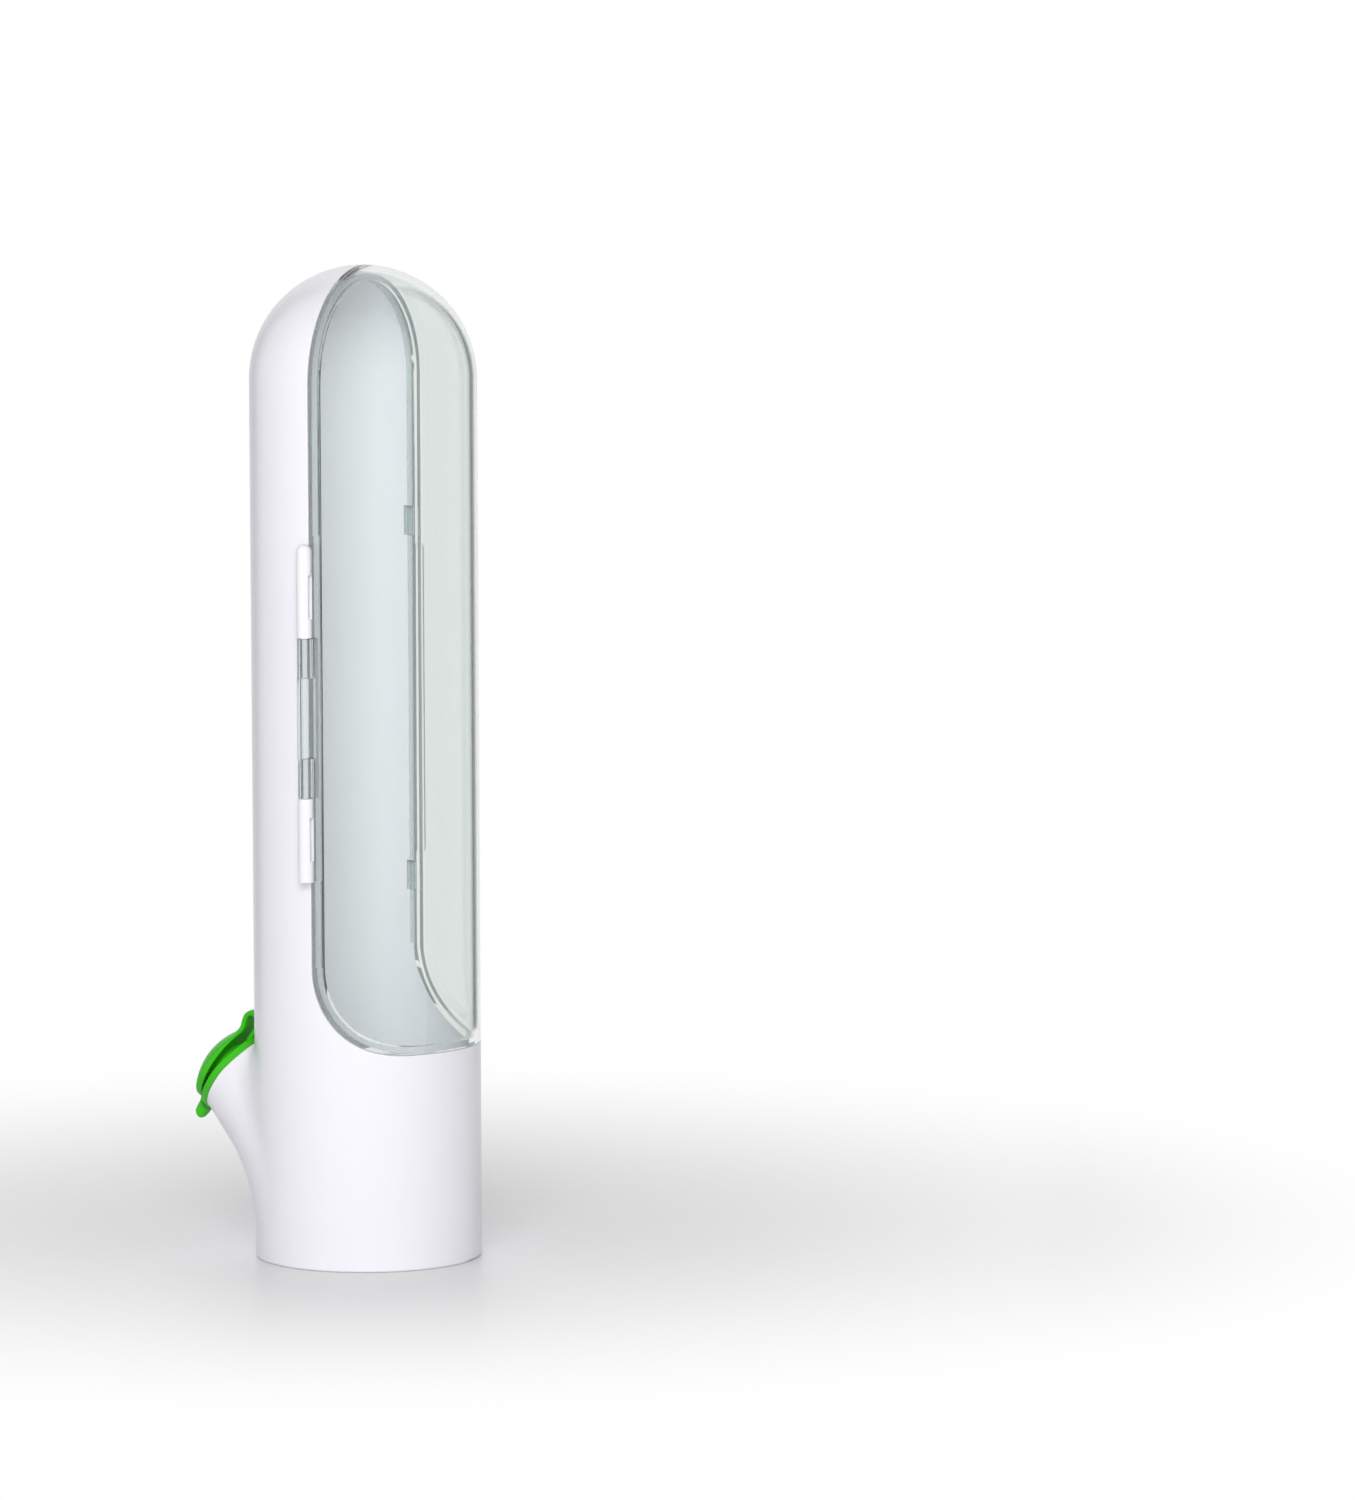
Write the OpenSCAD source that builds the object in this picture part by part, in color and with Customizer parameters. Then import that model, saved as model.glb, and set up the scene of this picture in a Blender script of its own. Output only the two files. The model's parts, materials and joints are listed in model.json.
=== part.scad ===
// Herb keeper: an upright capsule with a white body, a clear hinged door over
// its front, a water base and a rear filling spout with a soft green cap.
// Millimetres. +Z is up, the door faces -Y, the hinge is on -X and the spout
// on +Y. The origin is the centre of the ring that the keeper stands on.

/* [Body] */
// Outside diameter of the tube and its dome
body_d = 65; // [62:0.5:70]
// Overall height, from the standing ring to the top of the dome
body_h = 285; // [265:1:310]
// Wall of the white body
body_wall = 2.2; // [1.8:0.1:2.6]
// Radius of the standing ring's outer edge
foot_edge_r = 0.8; // [0.4:0.1:1.2]

/* [Door opening] */
// Height of the sill, where the door's lower edge lies
sill_z = 62; // [56:1:70]
// Radius of the opening's lower corner, seen from the side
corner_r = 25; // [18:1:28]
// Width of the body's rim at the seam, across the wall
body_rim_w = 2.7; // [2.6:0.1:3.2]
// Thickness of the body's and the door's rims, away from the seam
rim_t = 2; // [1.5:0.1:3]
// Clear gap between the door and the body
seam_gap = 0.3; // [0.25:0.05:0.5]

/* [Door] */
// Wall of the clear door
door_wall = 2; // [1.6:0.1:2.6]
// Thickness of the locating lip inside the seam
lip_t = 1; // [0.8:0.1:1.4]
// Reach of the locating lip past the seam
lip_reach = 1.2; // [0.8:0.1:1.8]
// Length of the finger pull on the free edge
pull_l = 90; // [60:1:120]
// Height of the finger pull's middle
pull_z = 158; // [140:1:175]
// How far the finger pull stands out of the tube
pull_proud = 0.8; // [0.5:0.1:1.5]
// Height of each catch tab
catch_l = 8; // [6:0.5:10]
// Thickness of each catch tab
catch_t = 1.2; // [1:0.1:1.4]
// Distance from the tube's surface in to each catch tab
catch_in = 1; // [0.9:0.1:1.2]
// Reach of each catch tab behind the seam
catch_reach = 3; // [2.5:0.1:4]
// Clear space between a catch tab and a finger pull end
catch_space = 2.5; // [1.5:0.1:4]

/* [Hinge] */
// Distance from the tube's surface out to the hinge axis
hinge_out = 2.65; // [2.6:0.05:3.2]
// Height of the middle of the door's barrel
hinge_z = 158.8; // [150:0.1:168]
// Outside diameter of the barrels
barrel_d = 4.4; // [4:0.1:4.4]
// Length of the door's clear barrel
door_barrel_l = 45.2; // [40:0.1:50]
// Length of each knuckle at the ends of the clear barrel
knuckle_l = 11.2; // [9:0.1:13]
// How much wider the middle of the clear barrel is, in diameter
middle_extra_d = 0.2; // [0:0.05:0.2]
// Length of the upper white barrel
upper_barrel_l = 26.6; // [24:0.1:30]
// Length of the lower white barrel
lower_barrel_l = 23.8; // [22:0.1:28]
// Axial gap between the clear barrel and each white one
barrel_gap = 0.3; // [0.2:0.05:0.6]
// Height of the window in each white barrel
window_l = 12.4; // [10:0.1:14]
// Width of the windows
window_w = 2.3; // [2.1:0.1:2.6]
// Distance from a window to the clear barrel's end of its white barrel
window_from_joint = 5.4; // [4:0.1:7]
// Thickness of the clear leaf from the door's barrel to its wall
door_leaf_t = 2.8; // [2:0.1:3.2]
// How far the pad behind the seam rises above the upper barrel
pad_rise = 1.5; // [0.5:0.1:3]

/* [Hinge pins] */
// Diameter of the steel pins
pin_d = 2; // [1.6:0.1:2]
// How far each pin reaches past its window
pin_past_window = 3; // [1.5:0.1:4]
// Radial clearance of a pin where it is pressed in
pin_press_gap = 0.02; // [0.01:0.01:0.05]
// Radial clearance of a pin where the door turns on it
pin_run_gap = 0.06; // [0.03:0.01:0.1]

/* [Base plate] */
// Thickness of the plate
plate_t = 2.4; // [2:0.1:3.2]
// Height of the plate's underside above the standing ring
plate_lift = 1; // [0.6:0.1:2]
// Height of the plate's spigot above the plate
spigot_h = 4.5; // [3:0.1:7]
// Wall of the spigot
spigot_wall = 1.8; // [1.4:0.1:2.2]
// Width of the step in the wall that the plate lies against
plate_step = 0.7; // [0.5:0.1:0.9]
// Clearance of the plate and its spigot in the tube
plate_gap = 0.1; // [0.05:0.05:0.2]

/* [Spout] */
// Angle of the spout's axis above the horizontal
spout_angle = 36; // [30:1:42]
// Distance from the tube's surface out to the middle of the mouth
mouth_out = 9.4; // [8.5:0.1:12]
// Height of the middle of the mouth
mouth_z = 49.7; // [44:0.1:54]
// Radius of the spout's shoulder, behind the collar
shoulder_r = 13.1; // [12.5:0.1:14]
// Growth of the spout's radius towards the tube, for each millimetre
spout_flare = 0.279; // [0.15:0.01:0.32]
// Radius of the passage
passage_r = 10; // [9:0.1:10.5]
// Radius of the root that runs the spout's underside into the tube
root_r = 16; // [10:1:20]

/* [Cap] */
// Thickness of the spout's rim that the collar holds, along the axis
rim_h = 1.5; // [1:0.1:2]
// How far the collar stands out past the spout's shoulder
collar_proud = 0.4; // [0.2:0.1:0.6]
// Wall of the collar around the rim
collar_wall = 1.3; // [1:0.1:1.6]
// Clearance of the collar around the rim
collar_gap = 0.05; // [0.05:0.05:0.1]
// Thickness of the collar over the rim
collar_top = 1.6; // [1.2:0.1:2]
// How much wider the collar's opening is than the passage, in radius
collar_relief = 0.8; // [0.5:0.1:1]
// Radius of the lid
lid_r = 12.5; // [11.8:0.1:13]
// Height of the lid's edge, under its dome
lid_edge_h = 2.1; // [1.6:0.1:3]
// Rise of the lid's dome
dome_rise = 4.6; // [3:0.1:6]
// Depth of the groove between the collar and the lid's edge
groove_h = 0.8; // [0.6:0.1:1.2]
// Clear gap between the lid's land and the collar
land_gap = 0.3; // [0.2:0.05:0.5]
// Width of the lid's land inside the groove
land_w = 0.9; // [0.6:0.1:1.2]
// Depth of the plug below the spout's shoulder
plug_depth = 3; // [2:0.1:4]
// Clearance of the plug in the passage at its top
plug_gap = 0.4; // [0.3:0.05:0.6]
// How much the plug narrows towards its end, in radius
plug_taper = 0.7; // [0.5:0.05:1]
// Wall of the hollow plug
plug_wall = 2; // [1.6:0.1:2.6]
// Radius of the pull bead
bead_r = 2.1; // [1.6:0.1:2.4]
// Distance from the lid's edge out to the middle of the bead
bead_out = 4.5; // [4.2:0.1:6]
// Width of the pull bead and of the neck that carries it
bead_w = 8; // [6:0.5:12]
// Thickness of the bead's neck
bead_neck_t = 1.5; // [1.2:0.1:2]
// Width of the strap loop that ties the lid to the collar
strap_w = 8; // [6:0.5:10]
// Thickness of the strap
strap_t = 1.8; // [1.4:0.1:2.2]
// Radius of the strap's loop, at the middle of its thickness
loop_r = 2.7; // [2.2:0.1:3]
// Distance from the tube's surface out to the loop's middle
loop_out = 4.9; // [4.5:0.1:5.5]
// Height of the loop's middle above the collar's top
loop_rise = 3.9; // [3.5:0.1:6]

/* [Hidden] */

$fn = 96;
eps = 0.01;
// How far a cut runs past the face that it opens.
over = 1;
white = "#f2f1f6";
clear = "#dfe9ea";
steel = "#b9bcc0";
green = "#3fb52a";

body_r = body_d / 2;
dome_z = body_h - body_r;
reach = 2 * body_h;

hinge_x = -(body_r + hinge_out);
barrel_r = barrel_d / 2;
web_inset = 0.1;
web_t = barrel_r - web_inset;
web_in = body_r - body_rim_w / 2;
door_barrel_top = hinge_z + door_barrel_l / 2;
door_barrel_bottom = hinge_z - door_barrel_l / 2;
upper_barrel_z = door_barrel_top + barrel_gap;
lower_barrel_top = door_barrel_bottom - barrel_gap;
lower_barrel_z = lower_barrel_top - lower_barrel_l;
upper_window_z = upper_barrel_z + window_from_joint;
lower_window_z = lower_barrel_top - window_from_joint - window_l;
pad_bottom = lower_barrel_z;
pad_top = upper_barrel_z + upper_barrel_l + pad_rise;
pin_r = pin_d / 2;
upper_pin_bottom = door_barrel_top - knuckle_l;
upper_pin_top = upper_window_z + window_l + pin_past_window;
lower_pin_top = door_barrel_bottom + knuckle_l;
lower_pin_bottom = lower_window_z - pin_past_window;

body_rim_r = body_r - body_rim_w;
lip_r = body_rim_r - seam_gap;
door_rim_r = lip_r - lip_t;
catch_x = body_r - catch_in - catch_t;
pull_top = pull_z + pull_l / 2;
pull_bottom = pull_z - pull_l / 2;

plate_top = plate_lift + plate_t;
body_bore_r = body_r - body_wall;

mouth_y = body_r + mouth_out;
spout_depth = (mouth_y - body_bore_r / 2) / cos(spout_angle);
collar_r = shoulder_r + collar_proud;
collar_bore_r = collar_r - collar_wall;
neck_r = collar_bore_r - collar_gap;
flare_angle = atan(spout_flare);
root_sweep = 90 - spout_angle - flare_angle;
root_short = 8;
root_tail = root_r / 4;
wall_meets = (mouth_out + shoulder_r * sin(spout_angle))
    / (cos(spout_angle) - spout_flare * sin(spout_angle));
root_start = wall_meets - root_r * tan(root_sweep / 2) * cos(flare_angle);

collar_v = rim_h + collar_top;
lid_v = collar_v + groove_h;
land_v = collar_v + land_gap;
plug_top_r = passage_r - plug_gap;
plug_end_r = plug_top_r - plug_taper;
dome_v = lid_v + lid_edge_h;
dome_r = (lid_r * lid_r + dome_rise * dome_rise) / (2 * dome_rise);
bead_u = lid_r + bead_out;

collar_top_z = mouth_z + collar_r * cos(spout_angle) + collar_v / 2 * sin(spout_angle);
loop_y = body_r + loop_out;
loop_z = collar_top_z + loop_rise;
lid_top_z = mouth_z + lid_r * cos(spout_angle) + dome_v * sin(spout_angle);

// A capsule about the tube's axis, domed at the top, from below the base.
module capsule(r, bottom = 0) {
    rotate_extrude()
        intersection() {
            union() {
                translate([0, bottom]) square([r, dome_z - bottom]);
                translate([0, dome_z]) circle(r);
            }
            translate([0, bottom]) square([r + over, reach]);
        }
}

// The space in front of the seam, moved out by grow: upright at the sides and
// over the dome, rounded at its lower corner and level along the sill.
module front_zone(grow = 0) {
    rotate([90, 0, 90])
        linear_extrude(height = reach, center = true)
            union() {
                translate([-reach, sill_z + corner_r])
                    square([reach + grow, reach]);
                translate([-reach, sill_z - grow])
                    square([reach - corner_r, reach]);
                translate([-corner_r, sill_z + corner_r])
                    circle(corner_r + grow);
            }
}

// Children in the spout's own frame: z along its axis, out of the mouth from
// the shoulder, and y across it, away from the strap.
module at_spout() {
    translate([0, mouth_y, mouth_z]) rotate([spout_angle - 90, 0, 0]) children();
}

module at_hinge(z) {
    translate([hinge_x, 0, z]) children();
}

// Window cut into a barrel from the front, down to the pin's axis.
module barrel_window(z, l) {
    at_hinge(z) translate([-window_w / 2, -barrel_d, 0]) cube([window_w, barrel_d, l]);
}

// Web from a barrel to the rim beside it, from one distance to another across
// the seam.
module barrel_web(z, l, from, to) {
    translate([hinge_x, from, z]) cube([-web_in - hinge_x, to - from, l]);
}

// Pad that widens the body's rim behind the whole hinge.
module hinge_pad() {
    intersection() {
        capsule(body_r - body_wall / 2);
        translate([-body_r, 0, pad_bottom])
            cube([body_r - door_rim_r, web_t, pad_top - pad_bottom]);
    }
}

// Cone of the spout with the root that runs its underside into the tube. The
// root's arc stops root_short degrees before upright, and its tail runs on
// into the wall.
module spout_outside() {
    start_r = shoulder_r + spout_flare * root_start;
    root_centre = [start_r + root_r * cos(flare_angle), -root_start + root_r * sin(flare_angle)];
    lean = flare_angle + root_sweep - root_short;
    root_end = root_centre - root_r * [cos(lean), sin(lean)];
    tail_end = root_end + root_tail * [sin(lean), -cos(lean)];
    at_spout() {
        cylinder(r = neck_r, h = rim_h);
        rotate_extrude()
            difference() {
                polygon([[0, eps], [shoulder_r, 0], [start_r, -root_start], root_centre,
                         root_end, tail_end, [0, tail_end[1]]]);
                translate(root_centre) circle(root_r);
            }
    }
}

module spout_passage() {
    at_spout() translate([0, 0, -spout_depth]) cylinder(r = passage_r, h = spout_depth + rim_h + over);
}

// The tube's rounded outside with its standing edge.
module tube_outside() {
    difference() {
        capsule(body_r);
        rotate_extrude()
            difference() {
                translate([body_r - foot_edge_r, -over]) square([2 * foot_edge_r, over + foot_edge_r]);
                translate([body_r - foot_edge_r, foot_edge_r]) circle(foot_edge_r);
            }
    }
}

module body_barrels() {
    at_hinge(upper_barrel_z) {
        cylinder(r = barrel_r, h = upper_barrel_l - barrel_r);
        translate([0, 0, upper_barrel_l - barrel_r]) sphere(barrel_r);
    }
    at_hinge(lower_barrel_z) cylinder(r = barrel_r, h = lower_barrel_l);
    barrel_web(upper_barrel_z, upper_barrel_l - barrel_r, 0, web_t);
    barrel_web(lower_barrel_z, lower_barrel_l, 0, web_t);
    hinge_pad();
}

// Pocket behind the seam for a catch tab, open to the inside.
module catch_pocket(z) {
    translate([door_rim_r, -over, z - seam_gap])
        cube([catch_x + catch_t + seam_gap - door_rim_r, over + catch_reach + seam_gap,
              catch_l + 2 * seam_gap]);
}

module body() {
    color(white)
        difference() {
            union() {
                difference() {
                    union() {
                        tube_outside();
                        spout_outside();
                    }
                    difference() {
                        capsule(body_bore_r, -over);
                        front_zone(rim_t);
                    }
                    capsule(body_rim_r, -over);
                    translate([0, 0, -over])
                        cylinder(r = body_bore_r + plate_step, h = over + plate_top);
                    front_zone();
                }
                body_barrels();
            }
            spout_passage();
            at_hinge(upper_barrel_z - over)
                cylinder(r = pin_r + pin_press_gap, h = over + upper_pin_top - upper_barrel_z);
            at_hinge(lower_pin_bottom)
                cylinder(r = pin_r + pin_press_gap, h = over + lower_barrel_top - lower_pin_bottom);
            barrel_window(upper_window_z, window_l);
            barrel_window(lower_window_z, window_l);
            catch_pocket(pull_top + catch_space);
            catch_pocket(pull_bottom - catch_space - catch_l);
        }
}

module base_plate() {
    color(white)
        difference() {
            union() {
                translate([0, 0, plate_lift])
                    cylinder(r = body_bore_r + plate_step - plate_gap, h = plate_t);
                translate([0, 0, plate_lift])
                    cylinder(r = body_bore_r - plate_gap, h = plate_t + spigot_h);
            }
            translate([0, 0, plate_top])
                cylinder(r = body_bore_r - plate_gap - spigot_wall, h = spigot_h + over);
        }
}

// Catch tab on the door's free edge, with a rounded nose.
module catch_tab(z) {
    translate([catch_x, -rim_t, z]) cube([catch_t, rim_t + catch_reach - catch_t / 2, catch_l]);
    translate([catch_x + catch_t / 2, catch_reach - catch_t / 2, z])
        cylinder(d = catch_t, h = catch_l);
}

// Finger pull: a low rib along the free edge with sloped ends.
module finger_pull() {
    slope = pull_proud * 2;
    translate([0, -seam_gap, 0])
        rotate([90, 0, 0])
            linear_extrude(height = rim_t)
                polygon([[body_r - rim_t / 2, pull_bottom], [body_r + eps, pull_bottom],
                         [body_r + pull_proud, pull_bottom + slope],
                         [body_r + pull_proud, pull_top - slope],
                         [body_r + eps, pull_top], [body_r - rim_t / 2, pull_top]]);
}

// Lip inside the seam, along both upright sides and over the dome, left out
// where the hinge pad lies.
module locating_lip() {
    difference() {
        intersection() {
            difference() {
                capsule(lip_r);
                capsule(door_rim_r, -over);
            }
            translate([-reach / 2, -rim_t, sill_z + corner_r])
                cube([reach, rim_t + lip_reach, reach]);
        }
        translate([-reach, -seam_gap, pad_bottom - seam_gap])
            cube([reach, reach, pad_top - pad_bottom + 2 * seam_gap]);
    }
}

module door_shell() {
    difference() {
        intersection() {
            capsule(body_r);
            front_zone(-seam_gap);
        }
        intersection() {
            capsule(body_r - door_wall, -over);
            front_zone(-seam_gap - rim_t);
        }
        capsule(door_rim_r, -over);
    }
}

module door() {
    color(clear)
        difference() {
            union() {
                door_shell();
                locating_lip();
                finger_pull();
                catch_tab(pull_top + catch_space);
                catch_tab(pull_bottom - catch_space - catch_l);
                at_hinge(door_barrel_bottom) cylinder(r = barrel_r, h = door_barrel_l);
                at_hinge(door_barrel_bottom + knuckle_l)
                    cylinder(r = barrel_r + middle_extra_d / 2, h = door_barrel_l - 2 * knuckle_l);
                barrel_web(door_barrel_bottom, door_barrel_l, -door_leaf_t, -seam_gap);
            }
            at_hinge(door_barrel_bottom - over)
                cylinder(r = pin_r + pin_run_gap, h = door_barrel_l + 2 * over);
            barrel_window(door_barrel_bottom + knuckle_l, door_barrel_l - 2 * knuckle_l);
        }
}

module hinge_pin(bottom, top) {
    color(steel) at_hinge(bottom) cylinder(r = pin_r, h = top - bottom);
}

module cap_collar() {
    color(green)
        at_spout()
            difference() {
                cylinder(r = collar_r, h = collar_v);
                translate([0, 0, -over]) cylinder(r = collar_bore_r, h = over + rim_h);
                cylinder(r = passage_r + collar_relief, h = collar_v + over);
            }
}

// The soft loop between the collar and the lid, at the top of the spout. Its
// rear leg stands on the collar, and its front leg ends just over the lid.
module cap_strap() {
    half = strap_t / 2;
    color(green)
        difference() {
            rotate([90, 0, 90])
                linear_extrude(height = strap_w, center = true)
                    translate([loop_y, loop_z])
                        union() {
                            intersection() {
                                difference() {
                                    circle(loop_r + half);
                                    circle(loop_r - half);
                                }
                                translate([-2 * loop_r, 0]) square([4 * loop_r, 2 * loop_r]);
                            }
                            translate([-loop_r - half, -loop_rise - strap_t])
                                square([strap_t, loop_rise + strap_t + eps]);
                            translate([loop_r - half, lid_top_z + land_gap - loop_z])
                                square([strap_t, loop_z - lid_top_z - land_gap + eps]);
                        }
            at_spout() translate([0, 0, -strap_t]) cylinder(r = collar_r, h = strap_t + collar_v);
        }
}

module cap_lid() {
    color(green)
        at_spout()
            difference() {
                union() {
                    translate([0, 0, lid_v]) cylinder(r = lid_r, h = lid_edge_h);
                    intersection() {
                        translate([0, 0, dome_v + dome_rise - dome_r]) sphere(dome_r);
                        translate([0, 0, dome_v]) cylinder(r = lid_r, h = 2 * dome_rise);
                    }
                    translate([0, 0, land_v])
                        cylinder(r = passage_r + collar_relief + land_w, h = lid_v - land_v + eps);
                    translate([0, 0, -plug_depth])
                        cylinder(r1 = plug_end_r, r2 = plug_top_r, h = plug_depth + land_v + eps);
                    translate([-bead_w / 2, bead_u, lid_v])
                        rotate([0, 90, 0]) cylinder(r = bead_r, h = bead_w);
                    translate([-bead_w / 2, 0, lid_v])
                        cube([bead_w, bead_u, bead_neck_t]);
                }
                translate([0, 0, -plug_depth - over])
                    cylinder(r = plug_end_r - plug_wall, h = plug_depth + land_v + over);
            }
}

body();
base_plate();
door();
hinge_pin(upper_pin_bottom, upper_pin_top);  // upper_hinge_pin
hinge_pin(lower_pin_bottom, lower_pin_top);  // lower_hinge_pin
cap_collar();
cap_strap();
cap_lid();
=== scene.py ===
"""Looks of the herb keeper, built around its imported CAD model.

Everything is in metres in the frame of the CAD: +Z is up, the clear door faces
-Y, the hinge is on -X and the filling spout on +Y. The soft cap is drawn in
millimetres in the spout's own frame, and spout_point puts it in the model.
"""

import json
import math

import bmesh
import bpy
from mathutils import Matrix, Vector


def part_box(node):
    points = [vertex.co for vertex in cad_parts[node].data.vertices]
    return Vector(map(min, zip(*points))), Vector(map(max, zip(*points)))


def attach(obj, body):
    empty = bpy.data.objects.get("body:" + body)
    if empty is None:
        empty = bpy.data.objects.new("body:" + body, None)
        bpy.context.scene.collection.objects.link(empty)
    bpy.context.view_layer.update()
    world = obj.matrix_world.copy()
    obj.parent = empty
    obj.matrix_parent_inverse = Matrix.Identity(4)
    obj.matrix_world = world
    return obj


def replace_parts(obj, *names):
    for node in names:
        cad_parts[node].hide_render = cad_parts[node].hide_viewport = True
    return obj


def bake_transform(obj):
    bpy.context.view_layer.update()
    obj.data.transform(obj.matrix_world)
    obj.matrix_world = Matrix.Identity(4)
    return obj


bl_info = {
    "name": "Herb Keeper",
    "version": (1, 0, 0),
    "blender": (4, 5, 0),
    "location": "View3D > Sidebar > Herb Keeper",
    "description": "Dresses a packed herb keeper and sets up its studio",
    "category": "Object",
}

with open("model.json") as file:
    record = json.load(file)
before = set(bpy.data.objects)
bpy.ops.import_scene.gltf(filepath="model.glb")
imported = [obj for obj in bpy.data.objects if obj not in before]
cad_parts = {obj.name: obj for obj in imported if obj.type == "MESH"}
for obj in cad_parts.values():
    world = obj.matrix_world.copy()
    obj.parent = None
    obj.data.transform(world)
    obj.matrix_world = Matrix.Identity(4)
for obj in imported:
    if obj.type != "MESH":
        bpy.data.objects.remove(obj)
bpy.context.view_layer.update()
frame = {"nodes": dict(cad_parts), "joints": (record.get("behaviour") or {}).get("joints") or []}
MM = 0.001
TURN = 2 * math.pi


def corner(node, end, axis):
    """One coordinate of a CAD node's box: end 0 is the lowest corner, 1 the highest."""
    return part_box(node)[end][axis]


# Sizes that the CAD model gives.
TUBE_R = corner("body", 1, 0)
TUBE_H = corner("body", 1, 2)
MIDDLE = Vector((0, 0, TUBE_H / 2))
HINGE = Vector(next(j["pos_m"] for j in frame["joints"] if j["name"] == "door_hinge"))
PIN_R = (corner("upper_hinge_pin", 1, 0) - corner("upper_hinge_pin", 0, 0)) / 2

# The spout's own frame: across is X, down runs down its mouth, out is its axis.
SPOUT_TILT = math.radians(36)
AXIS = Vector((0, math.cos(SPOUT_TILT), math.sin(SPOUT_TILT)))
DOWN = Vector((0, math.sin(SPOUT_TILT), -math.cos(SPOUT_TILT)))
COLLAR_R = (corner("cap_collar", 1, 0) - corner("cap_collar", 0, 0)) / 2
COLLAR_H = (
    corner("cap_collar", 1, 1) - corner("cap_collar", 0, 1) - 2 * COLLAR_R * DOWN.y
) / AXIS.y
MOUTH = sum(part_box("cap_collar"), Vector()) / 2 - AXIS * (COLLAR_H / 2)

# The camera: azimuth, elevation and roll in degrees, distance in metres, focal
# length in millimetres, how far it pans to the side and up, in degrees, and the
# nearest and furthest that it sees, in metres.
CAMERA_TURN, CAMERA_RISE, CAMERA_ROLL = -61.0, 6.8, -0.407
CAMERA_AWAY = 2.76
CAMERA_LENS = 231.4
PAN_SIDE, PAN_UP = -1.852, 0.073
CLIP_NEAR, CLIP_FAR = 0.05, 100

# Levels of the surroundings, of which 1 is white: as light on the keeper from
# the side and from overhead, and as they show through the clear door.
AMBIENT, OVERHEAD, THROUGH_DOOR = 0.46, 0.25, 0.88

# The floor reaches this far from the keeper. Round the keeper it has a painted shadow: a round
# pool where it isn't lifted to white, whose middle lies a little behind the keeper as the camera
# sees it.
FLOOR_HALF = 12.0
PAINTED_SHADOW_BEHIND, PAINTED_SHADOW_R = 0.06, 0.33

# The lamps: name, azimuth and elevation in degrees, distance in metres, width
# and height in metres, and power in watts.
LAMPS = (
    ("key", -65, 20, 1.6, (0.8, 0.9), 17.8),
    ("fill", 120, 35, 1.8, (0.9, 0.9), 11),
)

# The felt panels: name, first and last degree of swing from the camera's side,
# distance in metres, and whether gloss shows them. Each is bent in steps of
# FLAG_STEP degrees, and stands just clear of the floor.
FLAGS = (
    ("flag_left", -150, -130, 0.45, True),
    ("flag_right", 130, 150, 0.45, True),
    ("flag_side_left", -130, -60, 0.22, False),
    ("flag_side_right", 60, 130, 0.22, False),
)
FLAG_STEP = 10
FLAG_HALF, FLAG_CLEAR = 0.45, 0.002


def toward(turn, rise):
    """The unit vector from the keeper to a viewer at that azimuth and elevation, in degrees."""
    a, e = math.radians(turn), math.radians(rise)
    return Vector((math.sin(a) * math.cos(e), -math.cos(a) * math.cos(e), math.sin(e)))


# ------------------------------------------------------- what a user can change


def linear(colour):
    """A colour such as #3cbe1a, in sRGB, as linear red, green and blue."""
    parts = [int(colour[i : i + 2], 16) / 255 for i in (1, 3, 5)]
    return tuple(p / 12.92 if p <= 0.04045 else ((p + 0.055) / 1.055) ** 2.4 for p in parts)


def length(name, description, default):
    """A size in metres that the user can change."""
    return bpy.props.FloatProperty(
        name=name, description=description, default=default, min=0.0, precision=5,
        subtype="DISTANCE", unit="LENGTH",
    )


def tint(name, description, default):
    """A colour that the user can change, given in sRGB."""
    return bpy.props.FloatVectorProperty(
        name=name, description=description, default=linear(default), min=0.0, max=1.0,
        size=3, subtype="COLOR",
    )


class KeeperSizes(bpy.types.PropertyGroup):
    """Sizes of the details that the CAD model leaves to the looks."""

    root_below: length(
        "Root below", "Reach of the spout's root along its underside", 6.2 * MM
    )
    root_corner: length(
        "Root at the lower sides", "Reach of the spout's root at its lower sides", 21.6 * MM
    )
    root_side: length("Root at the sides", "Reach of the spout's root at its sides", 10 * MM)
    edge: length("Edge rounding", "Rounding of the soft cap's edges", 0.4 * MM)
    pin_edge: length("Pin edge", "Chamfer at the ends of the hinge pins", 0.25 * MM)
    strap_width: length("Strap width", "Width of the strap loop", 8 * MM)
    strap_thick: length("Strap thickness", "Thickness of the strap loop", 1.8 * MM)


class KeeperColours(bpy.types.PropertyGroup):
    """Colours of the finishes."""

    white: tint("White ABS", "Colour of the moulded white body", "#f5f4fa")
    clear: tint("Clear SAN", "Tint of the clear door", "#f8fcfa")
    steel: tint("Stainless steel", "Colour of the hinge pins", "#eef0f2")
    green: tint("Green silicone", "Colour of the soft cap", "#3cbe1a")
    floor: tint("Floor", "Colour of the studio floor", "#dedee0")
    flag: tint("Panels", "Colour of the felt panels beside the keeper", "#959a9e")


# ---------------------------------------------------------------- materials

# A Mix node has its sockets once for each kind of data, so they go by place.
MIX_FACTOR, NUMBER_A, NUMBER_B, COLOUR_A, COLOUR_B = 0, 2, 3, 6, 7
NUMBER_MIXED, COLOUR_MIXED = 0, 2

# Most of what a noise gives lies in this range.
NOISE_RANGE = {"From Min": 0.3, "From Max": 0.7}


def add(tree, kind, inputs=None, **settings):
    """Adds a node of that kind with its settings.

    An input goes by its name, or by its place where several share one. Its
    value is a constant or the socket that feeds it.
    """
    node = tree.nodes.new("ShaderNode" + kind)
    for key, value in settings.items():
        setattr(node, key, value)
    for key, value in (inputs or {}).items():
        if isinstance(value, bpy.types.NodeSocket):
            tree.links.new(value, node.inputs[key])
        else:
            node.inputs[key].default_value = value
    return node


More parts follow.
